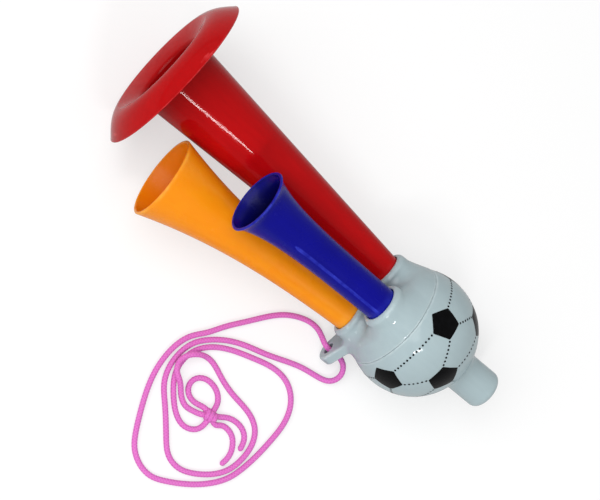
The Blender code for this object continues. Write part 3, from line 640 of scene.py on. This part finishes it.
class Ink:
    """Thin raised print on the ball, gathered into one mesh."""

    def __init__(self):
        self.verts = []
        self.faces = []

    def patch(self, middle, rim, rings):
        """Closed patch from its middle to its rim directions, with a foot inside the wall."""
        count = len(rim)
        start = len(self.verts)
        top = BALL_RADIUS + INK_HEIGHT
        self.verts.append(middle * top)
        for ring in range(1, rings + 1):
            share = ring / rings
            self.verts += [(middle.lerp(d, share)).normalized() * top for d in rim]
        self.verts += [d * (BALL_RADIUS - INK_HEIGHT) for d in rim]
        self.verts.append(middle * (BALL_RADIUS - INK_DEPTH))
        foot = len(self.verts) - 1
        for k in range(count):
            after = (k + 1) % count
            self.faces.append((start, start + 1 + k, start + 1 + after))
            for ring in range(rings):
                here = start + 1 + ring * count
                self.faces.append((here + k, here + count + k, here + count + after, here + after))
            last = start + 1 + rings * count
            self.faces.append((last + k, foot, last + after))

    def pentagon(self, middle, corners):
        """Pentagon with edges along great circles and slightly rounded corners."""
        rim = []
        for k in range(5):
            before, here, after = corners[k - 1], corners[k], corners[(k + 1) % 5]
            start, end = here.lerp(before, CORNER_CUT), here.lerp(after, CORNER_CUT)
            for t in np.linspace(0.0, 1.0, CORNER_POINTS):
                rim.append(start.lerp(here, t).lerp(here.lerp(end, t), t).normalized())
            for t in np.linspace(CORNER_CUT, 1.0 - CORNER_CUT, EDGE_POINTS)[1:-1]:
                rim.append(here.lerp(after, t).normalized())
        self.patch(middle, rim, PENTAGON_RINGS)

    def dot(self, middle, radius):
        ahead, aside = tangents(middle)
        size = radius / BALL_RADIUS
        turn = np.linspace(0.0, 2 * math.pi, DOT_SIDES, endpoint=False)
        rim = [(middle + size * (math.cos(a) * ahead + math.sin(a) * aside)).normalized() for a in turn]
        self.patch(middle, rim, DOT_RINGS)

    def seam(self, start, end, radius=DOT_RADIUS):
        """Row of dots between two directions, clear of both ends."""
        count = max(2, round(start.angle(end) * BALL_RADIUS / DOT_SPACING))
        for k in range(count):
            self.dot(start.slerp(end, (k + 0.5) / count), radius)


def football_print(finish):
    """Ten pentagons, the dotted seams between them and a tick from each rear one."""
    ink = Ink()
    front = [pentagon_corners(FRONT_RING[0], FRONT_RING[1], a, 0.0) for a in FRONT_RING[2]]
    rear = [pentagon_corners(REAR_RING[0], REAR_RING[1], a, 180.0) for a in REAR_RING[2]]
    for middle, corners in front + rear:
        ink.pentagon(middle, corners)
    for k in range(5):
        next_front, next_rear = front[(k + 1) % 5], rear[(k + 1) % 5]
        neighbours = (
            (front[k], next_front), (rear[k], next_rear),
            (front[k], rear[k]), (next_front, rear[k]),
        )
        for one, two in neighbours:
            ink.seam(*nearest_corners(one[1], two[1]))
        tip = rear[k][1][0]
        ahead, _ = tangents(tip)
        ink.seam(tip, (tip - TICK_LENGTH / BALL_RADIUS * ahead).normalized(), TICK_DOT_RADIUS)
    return outward(add_mesh("ball_print", ink.verts, ink.faces, HORN, finish, INK_SMOOTH_ANGLE))


# Cord

def smooth_route(points, step):
    """Even points along the natural cubic curve through a route's own points."""
    route = np.array(points) * MILLIMETRE
    spans = np.linalg.norm(np.diff(route, axis=0), axis=1)
    slopes = np.diff(route, axis=0) / spans[:, None]
    system = np.eye(len(route))
    bends = np.zeros_like(route)
    for k in range(1, len(route) - 1):
        system[k, k - 1:k + 2] = (spans[k - 1], 2 * (spans[k - 1] + spans[k]), spans[k])
        bends[k] = 6 * (slopes[k] - slopes[k - 1])
    bends = np.linalg.solve(system, bends)
    dense = [route[:1]]
    for k, span in enumerate(spans):
        done = np.linspace(0.0, span, CURVE_STEPS + 1)[1:, None]
        left = span - done
        dense.append((bends[k] * left ** 3 + bends[k + 1] * done ** 3) / (6 * span)
                     + (route[k] / span - bends[k] * span / 6) * left
                     + (route[k + 1] / span - bends[k + 1] * span / 6) * done)
    dense = np.vstack(dense)
    along = np.concatenate(([0.0], np.cumsum(np.linalg.norm(np.diff(dense, axis=0), axis=1))))
    stops = np.linspace(0.0, along[-1], round(along[-1] / step) + 1)
    return np.column_stack([np.interp(stops, along, dense[:, axis]) for axis in range(3)])


def carried_frames(points):
    """Two cross directions at each point of a line, carried along it without twist."""
    tangent = np.gradient(points, axis=0)
    tangent /= np.linalg.norm(tangent, axis=1)[:, None]
    side = np.cross(tangent[0], (0.0, 0.0, 1.0))
    sides = []
    for t in tangent:
        side = side - side @ t * t
        side = side / np.linalg.norm(side)
        sides.append(side)
    sides = np.array(sides)
    return sides, np.cross(tangent, sides)


def braid_uv(item, along):
    """UV of a braided tube: its turn, and its length in braid turns."""
    layer = item.data.uv_layers.new(name="braid")
    corner = np.zeros(len(item.data.loops), int)
    item.data.loops.foreach_get("vertex_index", corner)
    u = np.append(np.tile(np.arange(CORD_SIDES) / CORD_SIDES, len(along)), (0.0, 0.0))[corner]
    v = np.append(np.repeat(along, CORD_SIDES), (0.0, along[-1]))[corner] / BRAID_PITCH
    for polygon in item.data.polygons:
        loops = list(polygon.loop_indices)
        if max(u[loops]) - min(u[loops]) > 0.5:
            u[loops] = np.where(u[loops] < 0.5, u[loops] + 1.0, u[loops])
    layer.data.foreach_set("uv", np.column_stack((u, v)).ravel())


def braided_tube(name, points, diameter, finish):
    """Closed tube with round ends and the diamond relief of a round braid."""
    sides, ups = carried_frames(points)
    count = len(points)
    step = np.linalg.norm(points[1] - points[0])
    along = np.arange(count) * step
    turn = np.linspace(0.0, 2 * math.pi, CORD_SIDES, endpoint=False)
    wind = 2 * math.pi * along[:, None] / BRAID_PITCH
    one = np.cos(BRAID_STRANDS * (turn[None] - wind))
    two = np.cos(BRAID_STRANDS * (turn[None] + wind))
    radius = diameter / 2 - BRAID_RELIEF * (1.0 - np.maximum(one, two)) / 2
    ends = np.minimum(along, along[-1] - along)
    inset = np.clip(1.0 - ends / (CORD_END_ROUND * diameter), 0.0, 1.0)
    radius = radius * np.sqrt(np.maximum(1.0 - inset ** 2, CORD_END_FLAT))[:, None]
    ring = (points[:, None] + radius[..., None] * (np.cos(turn)[None, :, None] * sides[:, None]
                                                   + np.sin(turn)[None, :, None] * ups[:, None]))
    verts = list(ring.reshape(-1, 3)) + [points[0], points[-1]]
    faces = []
    for k in range(count - 1):
        for j in range(CORD_SIDES):
            after = (j + 1) % CORD_SIDES
            here, there = k * CORD_SIDES, (k + 1) * CORD_SIDES
            faces.append((here + j, here + after, there + after, there + j))
    first, last = len(verts) - 2, len(verts) - 1
    for j in range(CORD_SIDES):
        after = (j + 1) % CORD_SIDES
        faces.append((first, after, j))
        faces.append((last, (count - 1) * CORD_SIDES + j, (count - 1) * CORD_SIDES + after))
    item = add_mesh(name, verts, faces, Matrix.Identity(4), finish)
    braid_uv(item, along)
    return outward(item)


def knot_route():
    """Drawn-up turns round the strands, in millimetres."""
    turn = np.linspace(0.0, 2 * math.pi * KNOT_TURNS, KNOT_POINTS)
    share = turn / turn[-1]
    x = KNOT_CENTRE[0] + KNOT_HALF_LENGTH * (2 * share - 1)
    y = KNOT_CENTRE[1] + KNOT_RADIUS * np.cos(turn + KNOT_START)
    z = KNOT_CENTRE[2] + KNOT_RADIUS * KNOT_FLATTENING * np.sin(turn + KNOT_START)
    return np.column_stack((x, y, z))


# Materials

def new_material(name):
    finish = bpy.data.materials.new(name)
    finish.use_nodes = True
    return finish, finish.node_tree, finish.node_tree.nodes["Principled BSDF"]


def node(tree, kind, inputs=(), **settings):
    """Add a node; an input is linked if a socket is given, and set otherwise."""
    made = tree.nodes.new(kind)
    for key, value in settings.items():
        setattr(made, key, value)
    for key, value in dict(inputs).items():
        if isinstance(value, bpy.types.NodeSocket):
            tree.links.new(value, made.inputs[key])
        else:
            made.inputs[key].default_value = value
    return made


def object_coordinates(tree, stretch=(1.0, 1.0, 1.0)):
    """A piece's own coordinates; a small stretch along an axis draws marks out along it."""
    place = node(tree, "ShaderNodeTexCoord").outputs["Object"]
    return node(tree, "ShaderNodeMapping", {"Vector": place, "Scale": stretch}).outputs["Vector"]


def noise(tree, place, scale, detail=3.0, roughness=0.5):
    return node(tree, "ShaderNodeTexNoise", {"Vector": place, "Scale": scale, "Detail": detail,
                                             "Roughness": roughness}).outputs["Fac"]


def remap(tree, value, low, high, new_low, new_high):
    """Change a value's range from low and high to new ones, clamped."""
    return node(tree, "ShaderNodeMapRange", {"Value": value, "From Min": low, "From Max": high,
                                             "To Min": new_low, "To Max": new_high}).outputs["Result"]


def mixed(tree, share, first, second):
    """Mix of two colours, each a socket or a plain colour."""
    made = node(tree, "ShaderNodeMix", data_type='RGBA')
    for key, value in ((0, share), (6, first), (7, second)):
        if isinstance(value, bpy.types.NodeSocket):
            tree.links.new(value, made.inputs[key])
        elif key == 0:
            made.inputs[key].default_value = value
        else:
            made.inputs[key].default_value = (*value, 1.0)
    return made.outputs[2]


def moulded(name, colour, shade, edge, painted_shade, gloss, shine, glow, glow_radius):
    """Injection-moulded plastic.

    It has flow marks along X, cloudy pigment, paler edges (wear and painted highlight), painted shade in hollows,
    smears and fine scratches.
    """
    finish, tree, shader = new_material(name)
    plain = object_coordinates(tree)
    flow = noise(tree, object_coordinates(tree, FLOW_STRETCH), FLOW_SCALE, 4.0, 0.6)
    tint = mixed(tree, remap(tree, flow, 0.3, 0.75, 0.0, 0.35), colour, shade)
    cloud = remap(tree, noise(tree, plain, CLOUD_SCALE, 4.0), 0.35, 0.68, 0.0, 0.30)
    tint = mixed(tree, cloud, tint, shade)
    # Paler edges: partly wear, partly a painted highlight along edges and ridges.
    edge_wear_and_highlight = node(tree, "ShaderNodeNewGeometry").outputs["Pointiness"]
    rubbed = remap(tree, noise(tree, plain, RUB_SCALE, 4.0), 0.35, 0.7, 0.2, 1.0)
    edge_wear_and_highlight = node(tree, "ShaderNodeMath", {0: remap(tree, edge_wear_and_highlight, 0.508, 0.535, 0.0, 0.7), 1: rubbed},
                operation='MULTIPLY').outputs[0]
    tint = mixed(tree, edge_wear_and_highlight, tint, edge)
    # Painted shade: where ambient occlusion finds a hollow, such as inside a bell or between collars, the colour
    # darkens to a darker tone.
    open_share = node(tree, "ShaderNodeAmbientOcclusion", {"Distance": PAINTED_SHADE_REACH}, only_local=True)
    tint = mixed(tree, remap(tree, open_share.outputs["AO"], 0.30, 0.92, 1.0, 0.0), tint, painted_shade)
    tree.links.new(tint, shader.inputs["Base Color"])
    smear = remap(tree, noise(tree, plain, SMEAR_SCALE, 6.0, 0.65), 0.38, 0.72, gloss, gloss + ROUGHER)
    scratches = noise(tree, object_coordinates(tree, HAIR_STRETCH), HAIR_SCALE, 2.0)
    hair = remap(tree, scratches, 0.66, 0.74, 0.0, ROUGHER)
    rough = node(tree, "ShaderNodeMath", {0: smear, 1: hair}, operation='ADD').outputs[0]
    tree.links.new(rough, shader.inputs["Roughness"])
    peel = noise(tree, plain, PEEL_SCALE, 2.0)
    relief = node(tree, "ShaderNodeMath", {0: peel, 1: remap(tree, flow, 0.0, 1.0, 0.0, 0.6)},
                  operation='ADD').outputs[0]
    bump = node(tree, "ShaderNodeBump", {"Height": relief, "Strength": PEEL_STRENGTH,
                                         "Distance": PEEL_HEIGHT})
    tree.links.new(bump.outputs["Normal"], shader.inputs["Normal"])
    shader.inputs["IOR"].default_value = PLASTIC_IOR
    shader.inputs["Specular IOR Level"].default_value = shine
    shader.inputs["Subsurface Weight"].default_value = glow
    shader.inputs["Subsurface Radius"].default_value = glow_radius
    shader.inputs["Subsurface Scale"].default_value = 1.0
    return finish


def ink_material():
    """Black pad-printed ink, a little patchy."""
    finish, tree, shader = new_material("ball_ink")
    plain = object_coordinates(tree)
    patchy = remap(tree, noise(tree, plain, 380.0, 5.0, 0.65), 0.4, 0.75, 0.0, 0.5)
    tree.links.new(mixed(tree, patchy, linear(3, 3, 4), linear(15, 16, 19)), shader.inputs["Base Color"])
    rough = remap(tree, noise(tree, plain, 160.0, 4.0), 0.35, 0.7, 0.20, 0.34)
    tree.links.new(rough, shader.inputs["Roughness"])
    shader.inputs["Specular IOR Level"].default_value = 0.08
    bump = node(tree, "ShaderNodeBump", {"Height": noise(tree, plain, 1400.0, 2.0), "Strength": 0.12,
                                         "Distance": 0.0002})
    tree.links.new(bump.outputs["Normal"], shader.inputs["Normal"])
    return finish


def cord_material():
    """Soft synthetic braid: two sets of crossing yarns, fine fibres, painted shade in the hollows, faded
    stretches.
    """
    finish, tree, shader = new_material("cord_braid")
    uv = node(tree, "ShaderNodeUVMap", uv_map="braid").outputs["UV"]
    parts = node(tree, "ShaderNodeSeparateXYZ", {0: uv})
    u, v = parts.outputs["X"], parts.outputs["Y"]
    heights = []
    for sign in ('SUBTRACT', 'ADD'):
        lead = node(tree, "ShaderNodeMath", {0: u, 1: v}, operation=sign).outputs[0]
        angle = node(tree, "ShaderNodeMath", {0: lead, 1: 2 * math.pi * BRAID_STRANDS}, operation='MULTIPLY')
        heights.append(node(tree, "ShaderNodeMath", {0: angle.outputs[0]}, operation='COSINE').outputs[0])
    weave = node(tree, "ShaderNodeMath", {0: heights[0], 1: heights[1]}, operation='MAXIMUM').outputs[0]
    plain = object_coordinates(tree)
    fibre_place = node(tree, "ShaderNodeMapping", {"Vector": uv, "Scale": FIBRE_STRETCH})
    fibre = noise(tree, fibre_place.outputs["Vector"], FIBRE_SCALE, 5.0, 0.7)
    # Painted shade in the hollows between the yarns.
    hollow = remap(tree, weave, -0.2, 0.9, 0.60, 0.0)
    tint = mixed(tree, hollow, linear(225, 110, 200), linear(198, 66, 172))
    tint = mixed(tree, remap(tree, fibre, 0.35, 0.7, 0.0, 0.35), tint, linear(236, 152, 216))
    faded = remap(tree, noise(tree, plain, 55.0, 3.0), 0.4, 0.7, 0.0, 0.25)
    tint = mixed(tree, faded, tint, linear(216, 116, 192))
    tree.links.new(tint, shader.inputs["Base Color"])
    tree.links.new(remap(tree, fibre, 0.3, 0.7, 0.62, 0.85), shader.inputs["Roughness"])
    yarn = remap(tree, weave, -0.2, 1.0, 0.0, 1.0)
    height = node(tree, "ShaderNodeMath", {0: yarn, 1: fibre}, operation='ADD')
    bump = node(tree, "ShaderNodeBump", {"Height": height.outputs[0], "Strength": 0.35, "Distance": 0.00010})
    tree.links.new(bump.outputs["Normal"], shader.inputs["Normal"])
    shader.inputs["Sheen Weight"].default_value = 0.35
    shader.inputs["Sheen Roughness"].default_value = 0.4
    shader.inputs["Sheen Tint"].default_value = (*linear(255, 190, 240), 1.0)
    shader.inputs["Subsurface Weight"].default_value = 0.15
    shader.inputs["Subsurface Radius"].default_value = (0.0008, 0.0004, 0.0007)
    shader.inputs["Subsurface Scale"].default_value = 1.0
    return finish


def brass_material():
    """Rolled brass strip, its grain along X."""
    finish, tree, shader = new_material("rolled_brass")
    rolled = object_coordinates(tree, (0.05, 1.0, 1.0))
    grain = noise(tree, rolled, 2600.0, 3.0)
    streak = remap(tree, grain, 0.3, 0.7, 0.0, 0.6)
    tint = mixed(tree, streak, linear(214, 172, 92), linear(168, 122, 54))
    tree.links.new(tint, shader.inputs["Base Color"])
    tree.links.new(remap(tree, grain, 0.3, 0.7, 0.22, 0.42), shader.inputs["Roughness"])
    shader.inputs["Metallic"].default_value = 1.0
    bump = node(tree, "ShaderNodeBump", {"Height": grain, "Strength": 0.15, "Distance": 0.0001})
    tree.links.new(bump.outputs["Normal"], shader.inputs["Normal"])
    return finish


# Looks of the moulded pieces: colour with its darker shade, paler edges (wear and painted highlight), painted
# shade for hollows, then finish

WHITE_LOOK = dict(
    colour=linear(172, 190, 194), shade=linear(162, 180, 185), edge=linear(203, 217, 220),
    painted_shade=linear(118, 118, 126), shine=0.40, glow=0.18, glow_radius=(0.0030, 0.0032, 0.0034))
TRUMPET_LOOKS = {
    "red": dict(
        colour=linear(188, 10, 14), shade=linear(156, 7, 11), edge=linear(220, 66, 70),
        painted_shade=linear(132, 4, 6), gloss=0.05, shine=0.10, glow=0.05, glow_radius=(0.0016, 0.0004, 0.0004)),
    "orange": dict(
        colour=linear(255, 153, 19), shade=linear(252, 136, 8), edge=linear(255, 186, 80),
        painted_shade=linear(240, 126, 6), gloss=0.24, shine=0.18, glow=0.24, glow_radius=(0.0032, 0.0016, 0.0004)),
    "blue": dict(
        colour=linear(9, 9, 142), shade=linear(6, 6, 109), edge=linear(58, 70, 206),
        painted_shade=linear(4, 4, 44), gloss=0.24, shine=0.12, glow=0.06, glow_radius=(0.0004, 0.0004, 0.0016)),
}
REED_BODY_LOOK = dict(
    colour=linear(220, 219, 211), shade=linear(204, 203, 194), edge=linear(232, 232, 226),
    painted_shade=linear(150, 148, 140), gloss=0.30, shine=0.40, glow=0.1, glow_radius=(0.001, 0.001, 0.001))
REED_CLIP_LOOK = dict(
    colour=linear(200, 203, 203), shade=linear(184, 187, 188), edge=linear(216, 219, 219),
    painted_shade=linear(132, 134, 136), gloss=0.34, shine=0.40, glow=0.1, glow_radius=(0.001, 0.001, 0.001))


# Stage

def floor_material():
    """Pale floor: white to the eye, with the object's shadow kept."""
    finish, tree, shader = new_material("pale_floor")
    shader.inputs["Roughness"].default_value = 0.9
    shader.inputs["Specular IOR Level"].default_value = 0.0
    seen = node(tree, "ShaderNodeLightPath").outputs["Is Camera Ray"]
    tree.links.new(remap(tree, seen, 0.0, 1.0, FLOOR_GREY, 1.0), shader.inputs["Base Color"])
    share = node(tree, "ShaderNodeMath", {0: seen, 1: FLOOR_WHITE_SHARE}, operation='MULTIPLY').outputs[0]
    white = node(tree, "ShaderNodeEmission", {"Color": (1.0, 1.0, 1.0, 1.0), "Strength": 1.0}).outputs[0]
    blend = node(tree, "ShaderNodeMixShader", {0: share, 1: shader.outputs[0], 2: white}).outputs[0]
    tree.links.new(blend, tree.nodes["Material Output"].inputs["Surface"])
    return finish


def add_floor():
    half = FLOOR_HALF
    corners = [(-half, -half, 0.0), (half, -half, 0.0), (half, half, 0.0), (-half, half, 0.0)]
    place = Matrix.Translation((0.0, 0.0, cad_low.z))
    add_mesh("floor", corners, [(0, 1, 2, 3)], place, floor_material())


def add_world():
    """Even white light from all sides, and a white background."""
    world = bpy.data.worlds.new("studio")
    world.use_nodes = True
    tree = world.node_tree
    seen = node(tree, "ShaderNodeLightPath").outputs["Is Camera Ray"]
    strength = remap(tree, seen, 0.0, 1.0, SKY_STRENGTH, 1.0)
    sky = tree.nodes["Background"]
    sky.inputs["Color"].default_value = (1.0, 1.0, 1.0, 1.0)
    tree.links.new(strength, sky.inputs["Strength"])
    bpy.context.scene.world = world


def add_lamp(name, place, target, size, power, long_way=(0.0, 0.0, 1.0)):
    """Rectangular lamp facing a target, its first size along long_way."""
    light = bpy.data.lights.new(name, 'AREA')
    light.shape = 'RECTANGLE'
    light.size, light.size_y = size
    light.energy = power
    item = bpy.data.objects.new(name, light)
    bpy.context.scene.collection.objects.link(item)
    back = (Vector(place) - Vector(target)).normalized()
    across = Vector(long_way) - Vector(long_way).dot(back) * back
    across.normalize()
    item.matrix_world = axes_matrix(across, back.cross(across), back, Vector(place))


def add_lights():
    """A wide soft lamp, and a narrow one that draws the streak along the red trumpet."""
    add_lamp("key", KEY_PLACE, KEY_TARGET, KEY_SIZE, KEY_POWER)
    add_lamp("strip", STRIP_PLACE, STRIP_TARGET, STRIP_SIZE, STRIP_POWER, STRIP_LONG_WAY)


def add_camera():
    data = bpy.data.cameras.new("camera")
    data.lens = CAMERA_LENS
    data.sensor_width = CAMERA_SENSOR
    data.clip_start, data.clip_end = CAMERA_CLIP
    item = bpy.data.objects.new("camera", data)
    bpy.context.scene.collection.objects.link(item)
    right = unit(CAMERA_RIGHT)
    up = -unit(CAMERA_DOWN)
    item.matrix_world = axes_matrix(right, up, right.cross(up), Vector(CAMERA_PLACE))
    bpy.context.scene.camera = item


# Pieces

def add_cords():
    """The neck cord's two strands with their tails, its small loop, and the knot."""
    braid = cord_material()
    eye = Vector(STRAND_FRONT[0]) * MILLIMETRE
    knot_place = Vector(KNOT_CENTRE) * MILLIMETRE
    knot_points = smooth_route(knot_route(), CORD_STEP)
    knot = braided_tube("cord_knot", knot_points, CORD_DIAMETER * KNOT_CORD_SHARE, braid)
    routes = (
        ("cord_front", STRAND_FRONT + THROUGH_KNOT_LONG + TAIL_LONG, eye, "bare",
         ("lanyard_strand_front", "lanyard_tail_long")),
        ("cord_rear", STRAND_REAR + THROUGH_KNOT_SHORT + TAIL_SHORT, eye, "bare",
         ("lanyard_strand_rear", "lanyard_tail_short")),
        ("cord_bight", BIGHT_FROM_KNOT + BIGHT + BIGHT_INTO_KNOT, knot_place, "knot",
         ("lanyard_bight",)),
    )
    for name, route, leaves, far_end, nodes in routes:
        points = smooth_route(route, CORD_STEP)
        cord = braided_tube(name, points, CORD_DIAMETER, braid)
        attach(cord, "horn_body")
        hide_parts(*nodes)
    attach(knot, "horn_body")
    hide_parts("lanyard_knot")


def add_horn():
    """The ball's two halves and the print on them."""
    rear_finish = moulded("white_moulding_rear", gloss=0.08, **WHITE_LOOK)
    front_finish = moulded("white_moulding_front", gloss=0.09, **WHITE_LOOK)
    rear = turned("rear_half", rear_outline(), HORN, rear_finish)
    front = front_shell(front_finish)
    ink = football_print(ink_material())
    halves = ((rear, "rear_shell", "white_rear"), (front, "front_shell", "white_front"))
    for piece, node_name, slot in halves:
        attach(piece, "horn_body")
        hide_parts(node_name)
    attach(ink, "horn_body")


def add_trumpets():
    outlines = {
        "red": red_outline(),
        "orange": trumpet_outline(ORANGE_LENGTH, orange_radius),
        "blue": trumpet_outline(BLUE_LENGTH, blue_radius),
    }
    for colour, outline in outlines.items():
        finish = moulded(colour + "_moulding", **TRUMPET_LOOKS[colour])
        piece = turned(colour + "_bell", outline, socket_frame(colour), finish)
        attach(piece, colour + "_trumpet_body")
        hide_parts(colour + "_trumpet")


def dress_reeds():
    """Finer materials for the reed units, which keep their solids."""
    finishes = {
        "reed_body": moulded("natural_moulding", **REED_BODY_LOOK),
        "reed_clip": moulded("grey_moulding", **REED_CLIP_LOOK),
        "reed_tongue": brass_material(),
    }
    for name, item in frame["nodes"].items():
        for start, finish in finishes.items():
            if name.startswith(start):
                item.data.materials.clear()
                item.data.materials.append(finish)


bpy.context.scene.view_settings.view_transform = 'Standard'
add_camera()
add_cords()
add_horn()
add_trumpets()
dress_reeds()
add_floor()
add_world()
add_lights()
